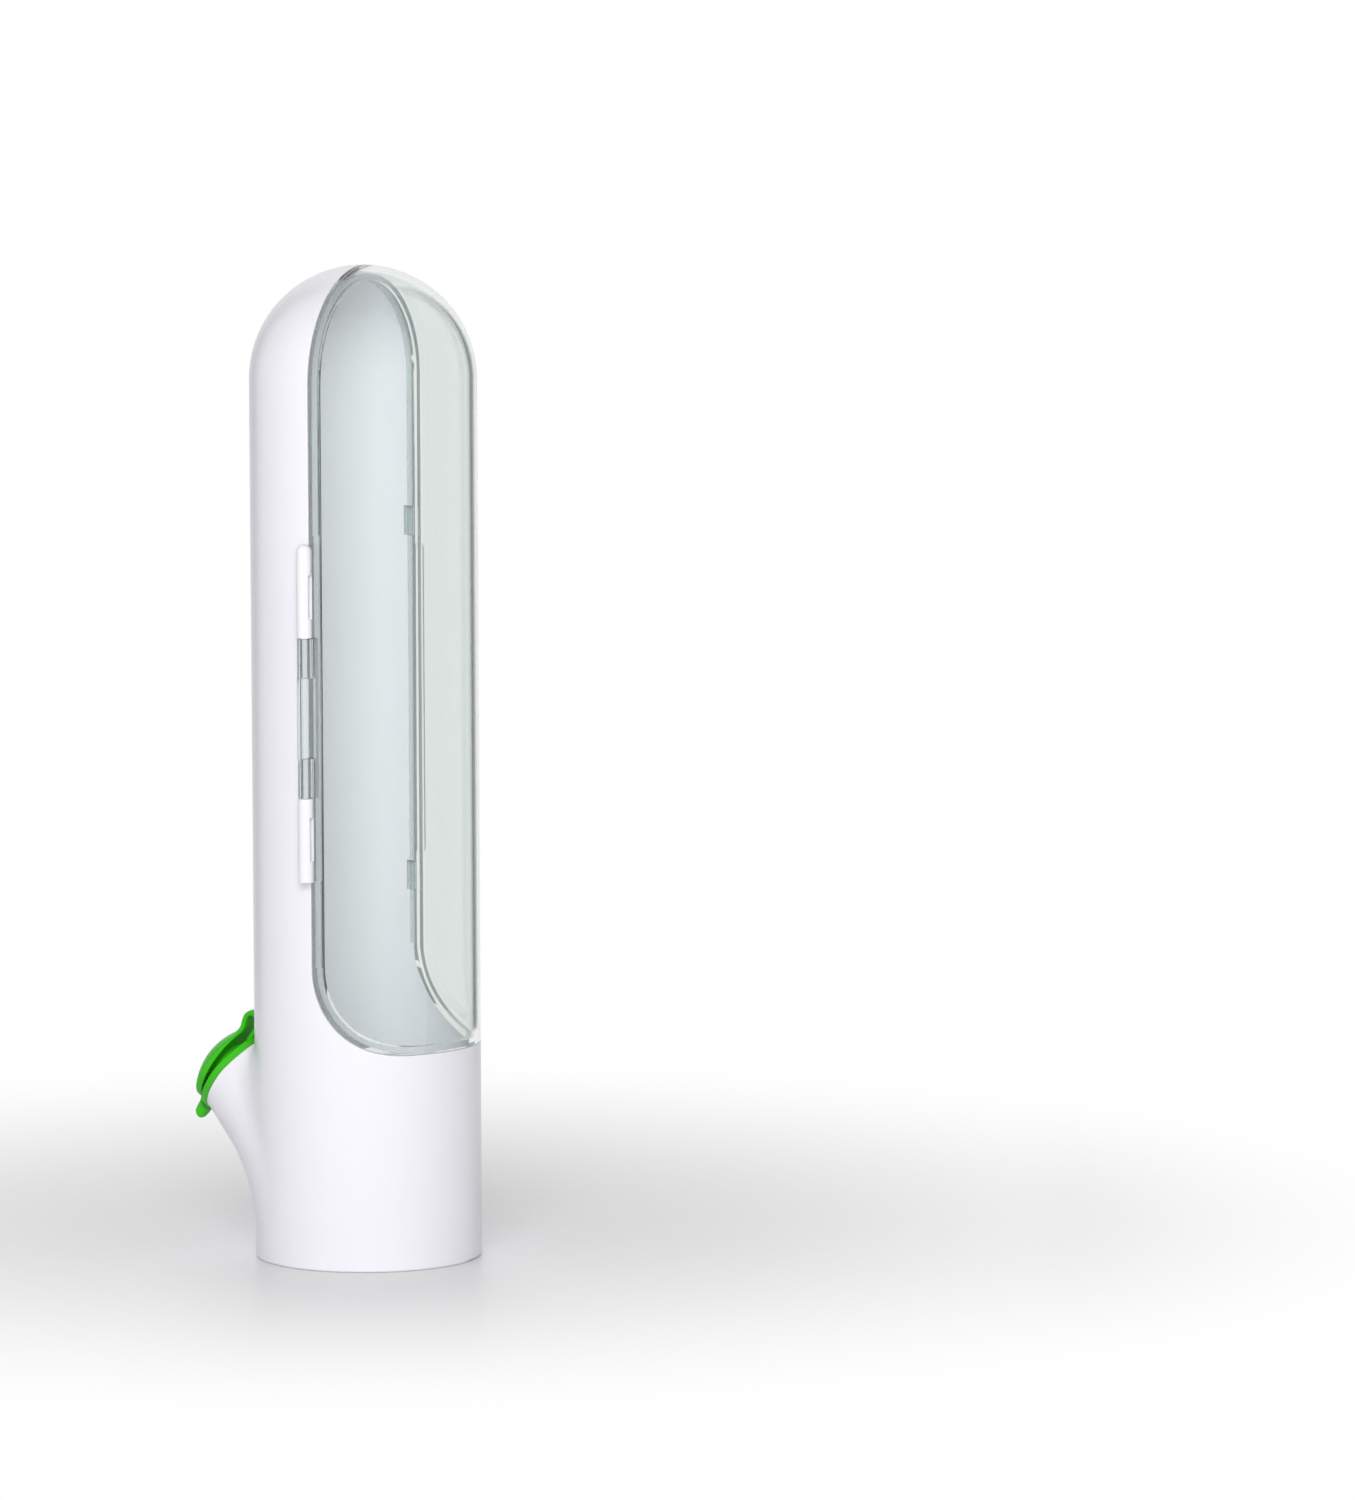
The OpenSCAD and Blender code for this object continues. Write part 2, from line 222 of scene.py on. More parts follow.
def fresh_material(name):
    """An empty node material and its tree."""
    material = bpy.data.materials.new(name)
    material.use_nodes = True
    material.node_tree.nodes.clear()
    return material, material.node_tree


def rgba(colour, factor=1.0):
    """A linear colour made lighter or darker by that factor, with full alpha."""
    return tuple(min(1.0, c * factor) for c in colour) + (1.0,)


def white_abs(colours):
    """White ABS, injection moulded in a polished tool.

    It has an even gloss with a faint long-wave ripple, and a cool tint that
    drifts slightly with the flow.
    """
    material, tree = fresh_material("moulded_white_abs")
    place = add(tree, "TexCoord").outputs["Object"]
    drift = add(tree, "TexNoise", {"Vector": place, "Scale": 1 / (45 * MM), "Detail": 1.0})
    colour = add(
        tree, "Mix",
        {
            MIX_FACTOR: drift.outputs["Fac"], COLOUR_A: rgba(colours.white, 0.98),
            COLOUR_B: rgba(colours.white, 1.01),
        },
        data_type="RGBA",
    )
    # The tool's polish is too fine to show, so its haze is drawn at 0.8 mm.
    haze = add(tree, "TexNoise", {"Vector": place, "Scale": 1 / (0.8 * MM), "Detail": 2.0})
    rough = add(
        tree, "MapRange",
        {
            "Value": haze.outputs["Fac"], "From Min": 0.2, "From Max": 0.8,
            "To Min": 0.27, "To Max": 0.3,
        },
    )
    ripple = add(tree, "TexNoise", {"Vector": place, "Scale": 1 / (16 * MM), "Detail": 1.0})
    bump = add(
        tree, "Bump", {"Height": ripple.outputs["Fac"], "Strength": 0.3, "Distance": 0.06 * MM}
    )
    shader = add(
        tree, "BsdfPrincipled",
        {
            "Base Color": colour.outputs[COLOUR_MIXED], "Roughness": rough.outputs["Result"],
            "IOR": 1.54, "Normal": bump.outputs["Normal"],
        },
    )
    add(tree, "OutputMaterial", {"Surface": shader.outputs["BSDF"]})
    return material


def clear_san(colours):
    """Clear SAN, injection moulded.

    It is nearly water-clear, with a faint green-grey cast in its thick edges
    and slow flow waves that bend what is seen through it.
    """
    material, tree = fresh_material("moulded_clear_san")
    place = add(tree, "TexCoord").outputs["Object"]
    wave = add(tree, "TexNoise", {"Vector": place, "Scale": 1 / (14 * MM), "Detail": 1.0})
    bump = add(
        tree, "Bump", {"Height": wave.outputs["Fac"], "Strength": 0.3, "Distance": 0.03 * MM}
    )
    haze = add(tree, "TexNoise", {"Vector": place, "Scale": 1 / (3 * MM), "Detail": 3.0})
    rough = add(
        tree, "MapRange",
        {"Value": haze.outputs["Fac"], **NOISE_RANGE, "To Min": 0.01, "To Max": 0.03},
    )
    shader = add(
        tree, "BsdfPrincipled",
        {
            "Base Color": rgba(colours.clear), "Roughness": rough.outputs["Result"], "IOR": 1.57,
            "Transmission Weight": 1.0, "Normal": bump.outputs["Normal"],
        },
    )
    # The lamps reach what is behind the door.
    path = add(tree, "LightPath")
    through = add(tree, "BsdfTransparent", {"Color": rgba(colours.clear, 0.97)})
    both = add(
        tree, "MixShader",
        {
            0: path.outputs["Is Shadow Ray"], 1: shader.outputs["BSDF"],
            2: through.outputs["BSDF"],
        },
    )
    add(tree, "OutputMaterial", {"Surface": both.outputs["Shader"]})
    return material


def drawn_steel(colours):
    """Stainless steel wire, drawn and cut: bright, with fine lines along it from the die."""
    material, tree = fresh_material("drawn_stainless_steel")
    place = add(tree, "TexCoord").outputs["Object"]
    # Real lines are too fine to show, so they are drawn 0.12 mm apart and 8 mm long.
    apart, along = 0.12 * MM, 8 * MM
    spacing = add(
        tree, "Mapping", {"Vector": place, "Scale": (1 / apart, 1 / apart, 1 / along)}
    )
    lines = add(
        tree, "TexNoise", {"Vector": spacing.outputs["Vector"], "Scale": 1.0, "Detail": 2.0}
    )
    rough = add(
        tree, "MapRange",
        {"Value": lines.outputs["Fac"], **NOISE_RANGE, "To Min": 0.14, "To Max": 0.3},
    )
    bump = add(
        tree, "Bump", {"Height": lines.outputs["Fac"], "Strength": 0.2, "Distance": 0.004 * MM}
    )
    shader = add(
        tree, "BsdfPrincipled",
        {
            "Base Color": rgba(colours.steel), "Metallic": 1.0,
            "Roughness": rough.outputs["Result"], "Normal": bump.outputs["Normal"],
        },
    )
    add(tree, "OutputMaterial", {"Surface": shader.outputs["BSDF"]})
    return material


def green_silicone(colours):
    """Green silicone rubber, compression moulded.

    It has a soft sheen over a fine matt grain, and its thin edges glow a little.
    """
    material, tree = fresh_material("moulded_green_silicone")
    place = add(tree, "TexCoord").outputs["Object"]
    cloud = add(tree, "TexNoise", {"Vector": place, "Scale": 1 / (8 * MM), "Detail": 2.0})
    colour = add(
        tree, "Mix",
        {
            MIX_FACTOR: cloud.outputs["Fac"], COLOUR_A: rgba(colours.green, 0.9),
            COLOUR_B: rgba(colours.green, 1.08),
        },
        data_type="RGBA",
    )
    # A real grain of 0.1 mm wouldn't show, so it is drawn at 0.35 mm.
    grain = add(tree, "TexNoise", {"Vector": place, "Scale": 1 / (0.35 * MM), "Detail": 3.0})
    rough = add(
        tree, "MapRange",
        {"Value": grain.outputs["Fac"], **NOISE_RANGE, "To Min": 0.32, "To Max": 0.46},
    )
    bump = add(
        tree, "Bump", {"Height": grain.outputs["Fac"], "Strength": 0.25, "Distance": 0.02 * MM}
    )
    shader = add(
        tree, "BsdfPrincipled",
        {
            "Base Color": colour.outputs[COLOUR_MIXED], "Roughness": rough.outputs["Result"],
            "IOR": 1.41, "Specular IOR Level": 0.35, "Subsurface Weight": 0.03,
            "Subsurface Radius": (0.4 * MM, 1.0 * MM, 0.3 * MM), "Subsurface Scale": 1.0,
            "Normal": bump.outputs["Normal"],
        },
    )
    add(tree, "OutputMaterial", {"Surface": shader.outputs["BSDF"]})
    return material


def studio_floor(colours):
    """Matt white laminate, pressed with a fine grain.

    It takes the keeper's shadow from the lamps. Round the keeper it has a painted shadow pool,
    which fades to white further away.
    """
    material, tree = fresh_material("matt_white_laminate")
    place = add(tree, "TexCoord").outputs["Object"]
    # A real grain of about 1 mm wouldn't show, so it is drawn at 6 mm.
    grain = add(tree, "TexNoise", {"Vector": place, "Scale": 1 / (6 * MM), "Detail": 2.0})
    rough = add(
        tree, "MapRange",
        {"Value": grain.outputs["Fac"], **NOISE_RANGE, "To Min": 0.3, "To Max": 0.36},
    )
    surface = add(
        tree, "BsdfPrincipled",
        {
            "Base Color": rgba(colours.floor), "Roughness": rough.outputs["Result"],
            "IOR": 1.45, "Specular IOR Level": 0.3,
        },
    )
    # Outside its painted shadow pool the floor is white to the camera and in gloss, and a shade
    # off white through the clear door.
    path = add(tree, "LightPath")
    through = path.outputs["Is Transmission Ray"]
    gloss = add(
        tree, "Math", {0: through, 1: path.outputs["Is Glossy Ray"]}, operation="MAXIMUM"
    )
    seen = add(
        tree, "Math", {0: gloss.outputs["Value"], 1: path.outputs["Is Camera Ray"]},
        operation="MAXIMUM",
    )
    white = add(
        tree, "Math", {0: through, 1: THROUGH_DOOR - 1, 2: 1.0}, operation="MULTIPLY_ADD"
    )
    # Painted shadow: the share of the floor lifted to white grows with the distance from a point
    # a little behind the keeper, so it stays grey close to it.
    away = add(
        tree, "VectorMath", {0: place, 1: toward(CAMERA_TURN, 0) * -PAINTED_SHADOW_BEHIND},
        operation="DISTANCE",
    )
    level = add(
        tree, "MapRange",
        {"Value": away.outputs["Value"], "From Min": 0.0, "From Max": PAINTED_SHADOW_R},
        interpolation_type="SMOOTHSTEP",
    )
    share = add(
        tree, "Math", {0: seen.outputs["Value"], 1: level.outputs["Result"]},
        operation="MULTIPLY",
    )
    glow = add(tree, "Emission", {"Color": (1, 1, 1, 1), "Strength": white.outputs["Value"]})
    both = add(
        tree, "MixShader",
        {0: share.outputs["Value"], 1: surface.outputs["BSDF"], 2: glow.outputs["Emission"]},
    )
    add(tree, "OutputMaterial", {"Surface": both.outputs["Shader"]})
    return material


def grey_felt(colours):
    """Grey wool felt, pressed, on a studio panel: matt, with a short nap.

    It shows in gloss and in the door's edges, where light turns back inside the
    plastic, and never straight through the door.
    """
    material, tree = fresh_material("grey_felt")
    place = add(tree, "TexCoord").outputs["Object"]
    # A real nap of about 1 mm wouldn't show, so it is drawn at 3 mm.
    nap = add(tree, "TexNoise", {"Vector": place, "Scale": 1 / (3 * MM), "Detail": 2.0})
    colour = add(
        tree, "Mix",
        {
            MIX_FACTOR: nap.outputs["Fac"], COLOUR_A: rgba(colours.flag, 0.8),
            COLOUR_B: rgba(colours.flag, 1.2),
        },
        data_type="RGBA",
    )
    surface = add(
        tree, "BsdfPrincipled", {"Base Color": colour.outputs[COLOUR_MIXED], "Roughness": 0.95}
    )
    straight = add(tree, "BsdfTransparent")
    bounces = add(tree, "LightPath").outputs["Glossy Depth"]
    shown = add(tree, "Math", {0: bounces, 1: 1.0}, operation="MINIMUM")
    both = add(
        tree, "MixShader",
        {0: shown.outputs["Value"], 1: straight.outputs["BSDF"], 2: surface.outputs["BSDF"]},
    )
    add(tree, "OutputMaterial", {"Surface": both.outputs["Shader"]})
    return material


MAKERS = {
    "white": white_abs, "clear": clear_san, "steel": drawn_steel, "green": green_silicone,
    "floor": studio_floor, "flag": grey_felt,
}
made_materials = {}


def finish(name):
    """The material of that finish, made once."""
    if name not in made_materials:
        made_materials[name] = MAKERS[name](bpy.context.scene.keeper_colours)
    return made_materials[name]


def dress(node, name):
    """Gives a CAD node that stays its finish."""
    obj = frame["nodes"][node]
    obj.data.materials.clear()
    obj.data.materials.append(finish(name))


# ------------------------------------------------------------------- meshes

# Points no further apart than this, in metres, become one.
MERGE_WITHIN = 1e-7


def new_piece(name, points, faces, material, body=None, sharp_angle=None):
    """A smooth mesh piece with one material, riding on a body if it has one.

    Faces that meet at more than the sharp angle, in degrees, keep a hard edge.
    """
    mesh = bpy.data.meshes.new(name)
    mesh.from_pydata([tuple(p) for p in points], [], faces)
    bm = bmesh.new()
    bm.from_mesh(mesh)
    bmesh.ops.remove_doubles(bm, verts=bm.verts, dist=MERGE_WITHIN)
    bmesh.ops.recalc_face_normals(bm, faces=bm.faces)
    for face in bm.faces:
        face.smooth = True
    bm.to_mesh(mesh)
    bm.free()
    if sharp_angle is not None:
        mesh.set_sharp_from_angle(angle=math.radians(sharp_angle))
    obj = bpy.data.objects.new(name, mesh)
    bpy.context.scene.collection.objects.link(obj)
    mesh.materials.append(finish(material))
    if body:
        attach(obj, body)
    return obj


def skin(rings, count, closed):
    """Quads between each ring of that many points and the next.

    A closed row of rings joins its last to its first, and an open one gets a
    face over each end.
    """
    faces = []
    if not closed:
        faces = [tuple(range(count)), tuple((rings - 1) * count + i for i in range(count))]
    for k in range(rings if closed else rings - 1):
        first, second = k * count, (k + 1) % rings * count
        for i in range(count):
            j = (i + 1) % count
            faces.append((first + i, first + j, second + j, second + i))
    return faces


def revolve(outline, place, steps):
    """Turns a closed (radius, height) outline. Returns points and faces.

    The function place puts each point, from its turn, radius and height.
    """
    points = [place(TURN * k / steps, r, h) for k in range(steps) for r, h in outline]
    return points, skin(steps, len(outline), True)


def soften(corners, steps=5):
    """A closed outline of (a, b, rounding) corners as plain points.

    Each corner with a rounding becomes an arc of that many steps.
    """
    out = []
    count = len(corners)
    for i, (a, b, rounding) in enumerate(corners):
        here = Vector((a, b))
        if rounding <= 0:
            out.append(here)
            continue
        before = Vector(corners[i - 1][:2]) - here
        after = Vector(corners[(i + 1) % count][:2]) - here
        half = before.angle(after) / 2
        back = rounding / math.tan(half)
        centre = here + (before.normalized() + after.normalized()).normalized() * (
            rounding / math.sin(half)
        )
        start = here + before.normalized() * back - centre
        end = here + after.normalized() * back - centre
        sweep = start.angle_signed(end)
        for k in range(steps + 1):
            turned = start.copy()
            turned.rotate(Matrix.Rotation(-sweep * k / steps, 2))
            out.append(centre + turned)
    return out


def curve_through(points, steps):
    """A smooth line through all the points, with that many steps between each two."""
    ends = [points[0] * 2 - points[1], *points, points[-1] * 2 - points[-2]]
    out = []
    for a, b, c, d in zip(ends, ends[1:], ends[2:], ends[3:]):
        for k in range(steps):
            f = k / steps
            out.append(
                (b * 2 + (c - a) * f + (a * 2 - b * 5 + c * 4 - d) * f ** 2
                 + (b * 3 - a - c * 3 + d) * f ** 3) / 2
            )
    return out + [points[-1]]


def smooth(value):
    """0 below 0, 1 above 1, and a soft ramp between them."""
    value = min(1.0, max(0.0, value))
    return value * value * (3 - 2 * value)


# ---------------------------------------------------------------- the spout
#
# Radii, distances and heights here are in millimetres, and turns in degrees.

# The rim bows out of its plane by RIM_BOW. Above its middle it loses the share
# RIM_BOW_LOST of that, over the distance RIM_BOW_OVER.
RIM_BOW, RIM_BOW_LOST, RIM_BOW_OVER = 0.9, 0.9, 12
# The rim's outline, as (radius, height), ends at the shoulder, where a cone
# starts that widens by FLARE for each unit of its length.
SHOULDER_R = 13.14
RIM = ((11.6, 0), (12.9, 0), (13.04, -0.04), (13.1, -0.1), (SHOULDER_R, -0.2))
FLARE = 0.279
# The root widens from its underside to its lower sides, then narrows again.
WIDENS_FROM, WIDENS_OVER = 8, 52
NARROWS_FROM, NARROWS_OVER = 66, 34
# The root covers at most this share of the cone's length.
ROOT_SHARE_MOST = 0.9
# The root's bore, and how far inside the tube's surface its underside lies.
ROOT_BORE_R, ROOT_SKIN = 11.4, 1.0
ROOT_STEPS = 160
CONE_ROWS, FILLET_ROWS, UNDER_ROWS = 8, 18, 8
WALK_STEPS = 24


def spout_point(across, down, out):
    """A point in the spout's own frame, in millimetres, as a place in the model."""
    return MOUTH + Vector((across * MM, 0, 0)) + DOWN * (down * MM) + AXIS * (out * MM)


def mouth_lift(down):
    """How far the rim bows out of its plane, at that distance below its middle."""
    return RIM_BOW * (1 - RIM_BOW_LOST * smooth(-down / RIM_BOW_OVER))


def line_meets_tube(start, way, radius):
    """Distance along a line from start at which it first enters the tube of that radius."""
    a = way.x ** 2 + way.y ** 2
    b = start.x * way.x + start.y * way.y
    c = start.x ** 2 + start.y ** 2 - radius ** 2
    return (-b - math.sqrt(b * b - a * c)) / a


def on_tube(place, radius):
    """The place moved level to that distance from the tube's axis."""
    flat = Vector((place.x, place.y, 0)).normalized() * radius
    return Vector((flat.x, flat.y, place.z))


def along_tube(place, normal, out):
    """The way along the tube's surface that leads away from the spout.

    It lies in the plane with that normal, on the side that out points to.
    """
    way = normal.cross(Vector((place.x, place.y, 0)).normalized()).normalized()
    return way if way.dot(out) > 0 else -way


def walk_on_tube(start, normal, out, distance):
    """Walks along the tube's surface. Returns the place and the way it heads."""
    place = start.copy()
    for _ in range(WALK_STEPS):
        way = along_tube(place, normal, out)
        place = on_tube(place + way * (distance / WALK_STEPS), TUBE_R)
    return place, way


class KEEPER_OT_spout_root(bpy.types.Operator):
    """Sweeps the soft root that runs the spout into the tube"""

    bl_idname = "keeper.spout_root"
    bl_label = "Spout root"

    def execute(self, context):
        sizes = context.scene.keeper_sizes
        columns = [self.column(sizes, TURN * k / ROOT_STEPS) for k in range(ROOT_STEPS)]
        rows = list(zip(*columns))
        points = [p for row in rows for p in row]
        faces = skin(len(rows), ROOT_STEPS, True)
        new_piece(
            "spout_root", points, faces, "white", "keeper", sharp_angle=50
        )
        return {"FINISHED"}

    def reach(self, sizes, turn):
        """How far the root reaches up the spout and along the tube.

        The turn starts at the spout's underside.
        """
        degrees = math.degrees(min(turn, TURN - turn))
        if degrees <= NARROWS_FROM:
            share = smooth((degrees - WIDENS_FROM) / WIDENS_OVER)
            return sizes.root_below + (sizes.root_corner - sizes.root_below) * share
        share = smooth((degrees - NARROWS_FROM) / NARROWS_OVER)
        return sizes.root_corner + (sizes.root_side - sizes.root_corner) * share

    def column(self, sizes, turn):
        """The root's outline at one turn about the spout.

        It runs over the rim, down the cone, out along the tube, and back inside
        the wall.
        """
        out = DOWN * math.cos(turn) + Vector((1, 0, 0)) * math.sin(turn)
        plane = out.cross(AXIS).normalized()
        way = (out * FLARE - AXIS).normalized()
        lift = mouth_lift(SHOULDER_R * math.cos(turn))
        rim = [MOUTH + (out * r + AXIS * (lift + v)) * MM for r, v in RIM]

        foot = MOUTH + out * (SHOULDER_R * MM)
        meets = line_meets_tube(foot, way, TUBE_R)
        reach = min(self.reach(sizes, turn), ROOT_SHARE_MOST * meets)
        start = foot + way * (meets - reach)
        cone = [foot.lerp(start, i / CONE_ROWS) for i in range(CONE_ROWS)]

        # A cubic that leaves the cone and joins the tube as a round fillet would.
        crossing = foot + way * meets
        end, heading = walk_on_tube(crossing, plane, out, reach)
        bend = way.angle(along_tube(crossing, plane, out))
        handle = reach * 4 / 3 * math.tan(bend / 4) / math.tan(bend / 2)
        bezier = (start, start + way * handle, end - heading * handle, end)
        fillet = []
        for i in range(FILLET_ROWS + 1):
            f = i / FILLET_ROWS
            weights = ((1 - f) ** 3, 3 * f * (1 - f) ** 2, 3 * f * f * (1 - f), f ** 3)
            fillet.append(sum((p * w for p, w in zip(bezier, weights)), Vector()))

        inner_r = TUBE_R - ROOT_SKIN * MM
        inner_top = MOUTH + out * (ROOT_BORE_R * MM)
        inner_end = inner_top - AXIS * line_meets_tube(inner_top, -AXIS, inner_r)
        under = [
            on_tube(end.lerp(inner_end, i / UNDER_ROWS), inner_r)
            for i in range(UNDER_ROWS + 1)
        ]
        return rim + cone + fillet + under


# ------------------------------------------------------------------ the cap
#
# All in millimetres. A name in _R is a radius, and one in _V a height out along
# the spout's axis from the plane of its mouth.

CAP_STEPS = 128
# An outline starts and ends this far from the axis.
AXIS_R = 0.01
# Heights and radii this close count as the same.
NEAR = 0.01

# The collar: a ring that bows with the spout's rim, and a flange inside it that
# lies flat. The outline has the flange lower than it lies.
RING_V, RING_TOP_R = 2.0, 12.5
RECESS_R, COLLAR_BORE_R, COLLAR_OPENING_R = 12.3, 12.2, 10.8
FLANGE_DRAWN_V, UNDER_DRAWN_V = 0.9, 0.5
FLANGE_V, UNDER_V = 1.9, 1.55
RING_CLEAR = 0.04

# The lid: a low dome over an edge, hollow below, with a neck above its plug.
LID_R, LID_V, LID_EDGE_H, DOME_RISE = 12.5, 3.6, 2.4, 4.6
DOME_STEPS, DOME_EDGE = 24, 1.2
SKIRT_R, HOLLOW_R, HOLLOW_V = 11.7, 11.3, 5.6
NECK_R, NECK_V = 6.2, 2.2
PLUG_TOP_R, PLUG_TOP_V, PLUG_END_R, PLUG_END_V = 9.6, 1.8, 8.9, -3
PLUG_HOLE_R, LAND_V = 6.9, 0.8
# The lid's lower edge is level with LID_V at the bead, this much higher at the
# sides and twice as much at the strap. Only points outside EDGE_R move.
LID_EDGE_RISE, EDGE_R = 0.9, 11

# The pull bead from the side, as (down, height, rounding).
BEAD = (
    (10.8, 4.5, 0), (12.6, 4.45, 0.6), (14.2, 4.6, 0.5), (15.2, 3.8, 0.4), (15.4, 1.8, 0.25),
    (17.2, 1.95, 0.8), (18.9, 2.3, 0.9), (19.0, 3.9, 1.1), (17.9, 5.2, 1.3), (15.8, 5.6, 1.0),
    (14.3, 5.45, 0.8), (12.6, 6.4, 0.6), (10.8, 7.1, 0),
)
BEAD_ARC_STEPS, BEAD_ROWS = 4, 16
BEAD_W, BEAD_ROUND = 3.8, 1.3
# At each side the outline shrinks to this share of itself, toward a line along
# the neck and then, past BEAD_STARTS, along the bead.
BEAD_SIDE_SHARE = 0.35
BEAD_LINE_FROM, BEAD_LINE_TO, BEAD_STARTS = 11.5, 17.3, 14.6
NECK_LINE_V, BEAD_LINE_V = 5.0, 3.7

# The middle of the strap, as (y, z) in the model's own frame.
STRAP = (
    (37.2, 60.2), (36.3, 61.6), (35.0, 63.4), (34.3, 65.3), (34.9, 67.3), (36.4, 68.1),
    (38.0, 67.3), (38.8, 65.5), (39.3, 63.9), (40.5, 62.4), (42.4, 61.0),
)
STRAP_STEPS, STRAP_SIDES = 6, 20
# Over this share of its length at each end, the strap spreads into a foot that
# is wider and thinner by these shares.
FOOT_SHARE, FOOT_WIDER, FOOT_THINNER = 0.22, 0.1, 0.15
# The lower the power, the squarer the strap's section is, across and through.
SQUARE_ACROSS, SQUARE_THROUGH = 0.35, 0.6


class KEEPER_OT_cap(bpy.types.Operator):
    """Makes the soft cap: the collar, the lid with its plug and pull bead, and the strap"""

    bl_idname = "keeper.cap"
    bl_label = "Soft cap"

    def execute(self, context):
        sizes = context.scene.keeper_sizes
        self.collar(sizes)
        self.lid(sizes)
        self.bead()
        self.strap(sizes)
        return {"FINISHED"}

    def turned(self, name, outline, place, body):
        """A green ring piece turned from its outline."""
        points, faces = revolve(outline, place, CAP_STEPS)
        return new_piece(name, points, faces, "green", body, sharp_angle=40)

    def collar(self, sizes):
        """The collar that holds the cap on the spout's rim."""
        edge = sizes.edge / MM
        outline = soften(
            [
                (COLLAR_R / MM, 0, edge), (COLLAR_R / MM, RING_V, edge),
                (RING_TOP_R, RING_V, 0.7 * edge), (RECESS_R, FLANGE_DRAWN_V, 0),
                (COLLAR_OPENING_R, FLANGE_DRAWN_V, 0), (COLLAR_OPENING_R, UNDER_DRAWN_V, 0),
                (COLLAR_BORE_R, UNDER_DRAWN_V, 0), (COLLAR_BORE_R, 0, 0),
            ]
        )

        def place(turn, r, v):
            down = r * math.cos(turn)
            height = mouth_lift(down) + v + RING_CLEAR
            if r < RECESS_R + NEAR and v > NEAR:
                height = FLANGE_V if v > UNDER_DRAWN_V + NEAR else UNDER_V
            return spout_point(r * math.sin(turn), down, height)

        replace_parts(self.turned("cap_collar_ring", outline, place, "keeper"), "cap_collar")

    def lid(self, sizes):
        """The domed lid with its plug."""
        edge = sizes.edge / MM
        dome_r = (LID_R ** 2 + DOME_RISE ** 2) / (2 * DOME_RISE)
        dome_v = LID_V + LID_EDGE_H
        centre = dome_v + DOME_RISE - dome_r
        spread = math.asin(LID_R / dome_r)
        dome = [
            (
                dome_r * math.sin(spread * i / DOME_STEPS),
                centre + dome_r * math.cos(spread * i / DOME_STEPS), 0,
            )
            for i in range(1, DOME_STEPS)
        ]
        outline = soften(
            [
                (AXIS_R, dome_v + DOME_RISE, 0), *dome, (LID_R, dome_v, DOME_EDGE),
                (LID_R, LID_V, 0.8 * edge), (SKIRT_R, LID_V, 0.5 * edge),
                (HOLLOW_R, HOLLOW_V, 0.5), (NECK_R, HOLLOW_V, 0.5), (NECK_R, NECK_V, 0.3),
                (PLUG_TOP_R, PLUG_TOP_V, 0.2), (PLUG_END_R, PLUG_END_V, edge),
                (PLUG_HOLE_R, PLUG_END_V, 0.5 * edge), (PLUG_HOLE_R, LAND_V, edge),
                (AXIS_R, LAND_V, 0),
            ]
        )

        def place(turn, r, v):
            down = r * math.cos(turn)
            share = 1 - (v - LID_V) / LID_EDGE_H
            if v >= LID_V - NEAR and share > 0 and r > EDGE_R:
                v += share * LID_EDGE_RISE * (1 - down / LID_R)
            return spout_point(r * math.sin(turn), down, v)

        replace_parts(self.turned("cap_lid_dome", outline, place, "lid"), "cap_lid")

    def bead(self):
        """The pull bead on its thin neck, with the spur under it, rounded off at both sides."""
        outline = soften(BEAD, BEAD_ARC_STEPS)
        line = [
            Vector(
                (
                    min(max(p.x, BEAD_LINE_FROM), BEAD_LINE_TO),
                    NECK_LINE_V if p.x < BEAD_STARTS else BEAD_LINE_V,
                )
            )
            for p in outline
        ]
        half = BEAD_W / 2
        points = []
        for k in range(BEAD_ROWS + 1):
            x = half * math.sin(math.pi * (k / BEAD_ROWS - 0.5))
            past = max(0.0, abs(x) - (half - BEAD_ROUND)) / BEAD_ROUND
            full = math.sqrt(max(0.0, 1 - past * past))
            share = BEAD_SIDE_SHARE + (1 - BEAD_SIDE_SHARE) * full
            points += [spout_point(x, *(m + (p - m) * share)) for p, m in zip(outline, line)]
        faces = skin(BEAD_ROWS + 1, len(outline), False)
        new_piece("cap_pull_bead", points, faces, "green", "lid", sharp_angle=60)

    def strap(self, sizes):
        """The loop that ties the lid to the collar, with rounded edges and feet that spread."""
        way = curve_through([Vector(p) for p in STRAP], STRAP_STEPS)
        last = len(way) - 1
        points = []
        for i, here in enumerate(way):
            ahead = (way[min(i + 1, last)] - way[max(i - 1, 0)]).normalized()
            out = Vector((-ahead.y, ahead.x))
            foot = 1 - smooth(min(i / last, 1 - i / last) / FOOT_SHARE)
            half_w = sizes.strap_width / 2 * (1 + FOOT_WIDER * foot)
            half_t = sizes.strap_thick / 2 * (1 - FOOT_THINNER * foot)
            for k in range(STRAP_SIDES):
                cos, sin = math.cos(TURN * k / STRAP_SIDES), math.sin(TURN * k / STRAP_SIDES)
                x = math.copysign(abs(cos) ** SQUARE_ACROSS, cos) * half_w
                y = math.copysign(abs(sin) ** SQUARE_THROUGH, sin) * half_t
                flat = here * MM + out * y
                points.append(Vector((x, flat.x, flat.y)))
        faces = skin(len(way), STRAP_SIDES, False)
        piece = new_piece("cap_strap_loop", points, faces, "green", sharp_angle=70)
        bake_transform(piece)
        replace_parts(piece, "cap_strap")


# ----------------------------------------------------------- body and door

PIN_STEPS = 48


class KEEPER_OT_body(bpy.types.Operator):
    """Finishes the white body and its base plate"""

    bl_idname = "keeper.body"
    bl_label = "White body"

    def execute(self, context):
        dress("body", "white")
        dress("base_plate", "white")
        return {"FINISHED"}


class KEEPER_OT_door(bpy.types.Operator):
    """Finishes the clear door"""

    bl_idname = "keeper.door"
    bl_label = "Clear door"

    def execute(self, context):
        dress("door", "clear")
        return {"FINISHED"}


